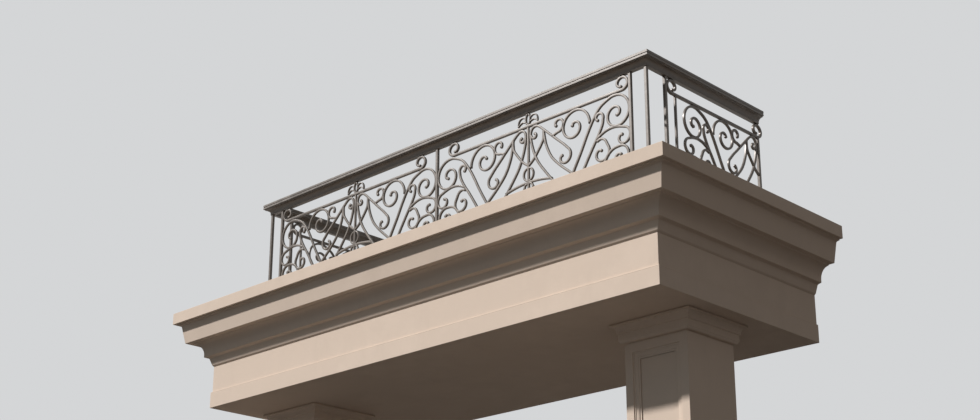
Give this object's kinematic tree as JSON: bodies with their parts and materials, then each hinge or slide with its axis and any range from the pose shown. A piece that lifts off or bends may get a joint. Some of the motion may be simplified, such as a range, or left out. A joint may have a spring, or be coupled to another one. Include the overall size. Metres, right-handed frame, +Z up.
{
  "type": "columned balcony with a scrolled iron railing",
  "caption": "Projecting house balcony: a moulded slab on two square panelled columns, with a scrolled iron railing round the deck.",
  "frame": {"origin": "on the ground, in the middle of the balcony's outline", "axes": "+X along the house wall to the viewer's right, +Y towards the wall, +Z up"},
  "size_m": [5.586, 2.228, 5.163],
  "materials": {
    "stucco": "warm beige stucco, fine grain, faint stains",
    "concrete": "trowelled screed, matt",
    "iron": "dark bronze paint, satin"
  },
  "bodies": {
    "root": {"plinth_left": "stucco", "plinth_right": "stucco", "base_left": "stucco", "base_right": "stucco", "shaft_left": "stucco", "shaft_right": "stucco", "panel_moulding_left": "stucco", "panel_moulding_right": "stucco", "capital_left": "stucco", "capital_right": "stucco", "fascia_front": "stucco", "fascia_left": "stucco", "fascia_right": "stucco", "frieze_front": "stucco", "frieze_left": "stucco", "frieze_right": "stucco", "cornice_front": "stucco", "cornice_left": "stucco", "cornice_right": "stucco", "top_band_front": "stucco", "top_band_left": "stucco", "top_band_right": "stucco", "beam_front": "concrete", "beam_left": "concrete", "beam_right": "concrete", "beam_wall": "concrete", "soffit_board": "stucco", "deck_slab": "concrete", "bottom_bar_front": "iron", "bottom_bar_left": "iron", "bottom_bar_right": "iron", "posts_front": "iron", "posts_left": "iron", "posts_right": "iron", "top_bar_front_left": "iron", "top_bar_front_right": "iron", "top_bar_left": "iron", "top_bar_right": "iron", "scrolls_front_left": "iron", "scrolls_front_right": "iron", "scrolls_left": "iron", "scrolls_right": "iron", "handrail_front": "iron", "handrail_left": "iron", "handrail_right": "iron"}
  },
  "joints": []
}
